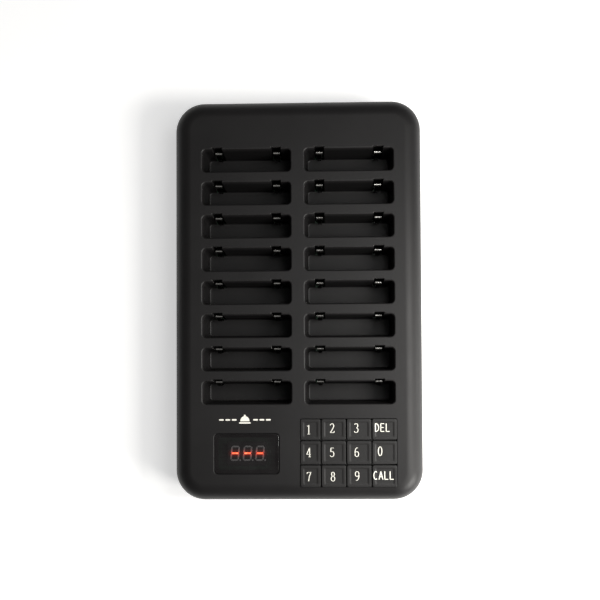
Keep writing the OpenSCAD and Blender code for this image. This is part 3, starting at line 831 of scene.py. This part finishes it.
def make_display():
    x0, x1, y0, y1, z0, z1 = box_mm("led_display")
    face = z1 - SEGMENT_T - SUNK
    module = prism("led_module", rect_outline(x0, x1, y0, y1, 0.4, 3), rounded_levels(z0, face, 0, 0.2, 2))
    place(smooth(module), unlit_glow("led_face", (0.006, 0.006, 0.006), 0.5, 0.35),
          nodes=["led_display"])
    levels = [(face - SUNK, 0), (face + SEGMENT_T, 0)]
    dull, lit = bmesh.new(), bmesh.new()
    half_w, half_h = (DIGIT_W - STROKE) / 2, (DIGIT_H - STROKE) / 2
    gap = 0.12
    for x in DIGIT_XS:
        for level in (-1, 0, 1):
            add_prism(dull if level else lit,
                      segment_outline(x, DIGIT_MIDDLE[1] + level * half_h, 2 * half_w - 2 * gap, False),
                      levels)
        for side in (-1, 1):
            for level in (-1, 1):
                add_prism(dull, segment_outline(x + side * half_w, DIGIT_MIDDLE[1] + level * half_h / 2,
                                                half_h - 2 * gap, True), levels)
        dot_x = x + DIGIT_W / 2 + 0.9 - half_h * SLANT
        add_prism(dull, circle_outline(dot_x, DIGIT_MIDDLE[1] - half_h - 0.1, 0.55, 20), levels)
    place(new_object("led_unlit_segments", dull),
          unlit_glow("led_dull", (0.5, 0.49, 0.49), 0.5, 2.2))
    place(new_object("led_lit_bars", lit), lit_bar("led_red"))

    x0, x1, y0, y1, z0, z1 = WINDOW
    lens = prism("display_window_lens", rect_outline(x0, x1, y0, y1, 2.3, 8),
                 [(z0, 0), (z1 - 0.5, 0), (z1 - 0.25, -0.08), (z1 - 0.07, -0.26), (z1, -0.5)])
    place(smooth(lens), MATERIALS["smoked_lens"], nodes=["display_window"])


PICTOGRAM_AT = (-36.1, -81.0)
BAR_L, BAR_T, BAR_PITCH, BARS = 3.2, 1.0, 4.3, 3
FIRST_BAR, BAR_DROP = 7.2, 0.4


def make_pictogram():
    """A service bell between plain bars, printed above the display."""
    cx, cy = PICTOGRAM_AT
    bm = bmesh.new()
    levels = [(DECK - SUNK, 0), (DECK + PRINT_T, 0)]
    dome = arc(cx, cy - 1.4, 3.1, 3.5, 0, 180, 20)
    add_prism(bm, lambda g: dome, levels)
    add_prism(bm, rect_outline(cx - 3.9, cx + 3.9, cy - 2.9, cy - 2.0, 0.35, 4), levels)
    add_prism(bm, rect_outline(cx - 0.55, cx + 0.55, cy + 2.0, cy + 3.0, 0.35, 4), levels)
    for side in (-1, 1):
        for i in range(BARS):
            x, y = cx + side * (FIRST_BAR + i * BAR_PITCH), cy - BAR_DROP
            add_prism(bm, rect_outline(x - BAR_L / 2, x + BAR_L / 2, y - BAR_T / 2, y + BAR_T / 2, 0.45, 4),
                      levels)
    return place(new_object("bell_pictogram", bm), MATERIALS["legend_print"])


# ------------------------------------------------------------------ contacts

STRAP_FOOT_Z = 8.6


def strap_line():
    """Side view of the riser and the bend over its top, as (y, z)."""
    bend = arc(RISER_Y - BEND_R, BEND_Z, BEND_R, BEND_R, 0, 180, 14)
    return [(RISER_Y, STRAP_FOOT_Z)] + bend + [(RISER_Y - 2 * BEND_R, BEND_Z - 0.6)]


def arm_line():
    """Side view of the bowed arm and its turned-in foot."""
    y = RISER_Y - 2 * BEND_R
    steps = 18
    bow = [(y - BOW * math.sin(math.pi * i / steps) ** 1.3, BEND_Z - ARM_L * i / steps)
           for i in range(1, steps)]
    end = BEND_Z - ARM_L
    return [(y, BEND_Z - 0.3)] + bow + [(y, end), (y - 0.3, end - 0.8), (y - 1.2, end - 1.2)]


def add_strip(bm, line, x0, x1, oy):
    """Adds sheet metal of constant thickness along a side-view line, with eased edges."""
    points = [Vector(p) for p in line]
    ease = 0.08
    side = 1 - 2 * ease / STRAP_T
    section = ((x0 + ease, 1), (x1 - ease, 1), (x1, side), (x1, -side),
               (x1 - ease, -1), (x0 + ease, -1), (x0, -side), (x0, side))
    rings = []
    for i, p in enumerate(points):
        before = points[i - 1] if i else p
        after = points[i + 1] if i < len(points) - 1 else p
        along = (after - before).normalized()
        out = Vector((-along.y, along.x)) * STRAP_T / 2
        ring = [bm.verts.new(Vector((x, oy + (p + out * s).x, (p + out * s).y)) * MM) for x, s in section]
        rings.append(ring)
    n = len(rings[0])
    for a, b in zip(rings, rings[1:]):
        for i in range(n):
            bm.faces.new((a[i], a[(i + 1) % n], b[(i + 1) % n], b[i]))
    bm.faces.new(rings[0])
    bm.faces.new(reversed(rings[-1]))


def make_contacts(side, row):
    cx, cy = SLOTS[side, row]
    node = f"contacts_{side}_{row}"
    bm = bmesh.new()
    for x in contact_middles(cx):
        add_strip(bm, strap_line(), x - STRAP_W / 2, x + STRAP_W / 2, cy)
        add_strip(bm, arm_line(), x - ARM_W / 2, x + ARM_W / 2, cy)
    pair = new_object(f"{node}_leaves", bm)
    return place(smooth(pair, 40, False), MATERIALS["contact_plating"], node, [node])


# ------------------------------------------------------------------ feet and carried-over CAD nodes

def make_foot(node):
    x0, x1, y0, y1, z0, z1 = box_mm(node)
    cx, cy, r = (x0 + x1) / 2, (y0 + y1) / 2, (x1 - x0) / 2
    levels = rounded_levels(z0, z1, 0.6, 0, 5)
    foot = prism(f"{node}_pad", circle_outline(cx, cy, r, 56), levels)
    return place(smooth(foot), MATERIALS["foot_rubber"], nodes=[node])


CARRIED = {
    "keypad_mat": ("silicone", 0.2), "control_board": ("board", 0.1), "charging_board": ("board", 0.1),
    "control_board_screws": ("screw_steel", 0.1), "charging_board_screws": ("screw_steel", 0.1),
    "case_screws": ("screw_steel", 0.15), "microcontroller": ("part_black", 0.05),
    "charge_control_chip": ("part_black", 0.05), "power_inductor": ("part_black", 0.5),
    "reservoir_capacitors": ("part_metal", 0.2), "radio_module": ("part_metal", 0.2),
    "aerial": ("aerial_wire", 0), "sounder": ("part_black", 0.3), "link_cable": ("cable_grey", 0.1),
    "power_inlet": ("socket_black", 0.2), "switch_frame": ("socket_black", 0.15),
    "switch_rocker": ("socket_black", 0.3),
}


def dress_carried_nodes():
    """CAD nodes whose shape is right keep it, with eased edges and their own finish."""
    for node, (slot, edge) in CARRIED.items():
        piece = frame["nodes"][node]
        piece.data.materials.clear()
        piece.data.materials.append(MATERIALS[slot])
        if edge:
            soften(piece, edge)


# ------------------------------------------------------------------ stage, lights and camera

FLOOR_HALF = 3.0


def make_floor():
    bm = bmesh.new()
    bmesh.ops.create_grid(bm, x_segments=1, y_segments=1, size=FLOOR_HALF)
    floor = new_object("floor", bm)
    n = Nodes("pale_floor")
    n.set(Base_Color=n.colours(n.noise(6.0), (0.86, 0.86, 0.855), (0.88, 0.88, 0.875)), Roughness=0.7)
    n.set(Emission_Color=(1, 1, 1, 1), Emission_Strength=0.5)
    floor.data.materials.append(n.material)


AIM = Vector((0, -0.02, 0.03))


def add_light(name, bearing, height, far, size, power, lie=0.0, colour=(1, 1, 1)):
    """A soft panel aimed at AIM. Bearing is measured from +X, lie turns the panel in its plane."""
    a, e = math.radians(bearing), math.radians(height)
    towards = Vector((math.cos(e) * math.cos(a), math.cos(e) * math.sin(a), math.sin(e)))
    data = bpy.data.lights.new(name, "AREA")
    data.shape = "RECTANGLE"
    data.size, data.size_y = size
    data.energy = power
    data.color = colour
    lamp = bpy.data.objects.new(name, data)
    lamp.location = AIM + towards * far
    turn = towards.to_track_quat("Z", "Y").to_matrix() @ Matrix.Rotation(math.radians(lie), 3, "Z")
    lamp.rotation_euler = turn.to_euler()
    bpy.context.scene.collection.objects.link(lamp)
    return lamp


def make_lights():
    world = bpy.data.worlds.new("studio")
    world.use_nodes = True
    world.node_tree.nodes["Background"].inputs["Color"].default_value = (1, 1, 1, 1)
    world.node_tree.nodes["Background"].inputs["Strength"].default_value = 0.14
    bpy.context.scene.world = world
    warm, cool = (1.0, 0.985, 0.95), (0.97, 0.98, 1.0)
    add_light("key_panel", -5, 50, 0.45, (0.17, 0.17), 2.1, 0, warm)
    add_light("low_panel", -5, 8, 0.45, (0.19, 0.12), 0.7, 0, warm)
    add_light("corner_panel", -41, 19, 0.38, (0.12, 0.09), 1.3, 0, warm)
    add_light("overhead_strip", -20, 66, 0.6, (0.72, 0.07), 1.0, 45, warm)
    add_light("overhead_fill", 15, 72, 0.9, (0.35, 0.35), 0.82, 0, cool)


CAMERA_AT = (0.0233, -0.0538, 0.7086)
CAMERA_PITCH, CAMERA_YAW, CAMERA_ROLL = (math.radians(a) for a in (1.764, 1.916, -0.274))
SENSOR, LENS = 36.0, 59.16
SHIFT_Y = 0.08


def make_camera():
    data = bpy.data.cameras.new("camera")
    data.sensor_width = SENSOR
    data.lens = LENS
    data.shift_y = SHIFT_Y
    camera = bpy.data.objects.new("camera", data)
    camera.location = CAMERA_AT
    camera.rotation_euler = (CAMERA_PITCH, CAMERA_YAW, CAMERA_ROLL)
    bpy.context.scene.collection.objects.link(camera)
    bpy.context.scene.camera = camera


# ------------------------------------------------------------------ build

make_top_housing()
make_bottom_housing()
make_display()
make_pictogram()
for key_name in KEY_NAMES:
    make_key(key_name)
    make_legend(key_name)
for slot_side, slot_row in SLOTS:
    make_contacts(slot_side, slot_row)
for foot_node in ("foot_front_left", "foot_front_right", "foot_rear_left", "foot_rear_right"):
    make_foot(foot_node)
dress_carried_nodes()
make_floor()
make_lights()
make_camera()
bpy.context.scene.view_settings.view_transform = "Standard"
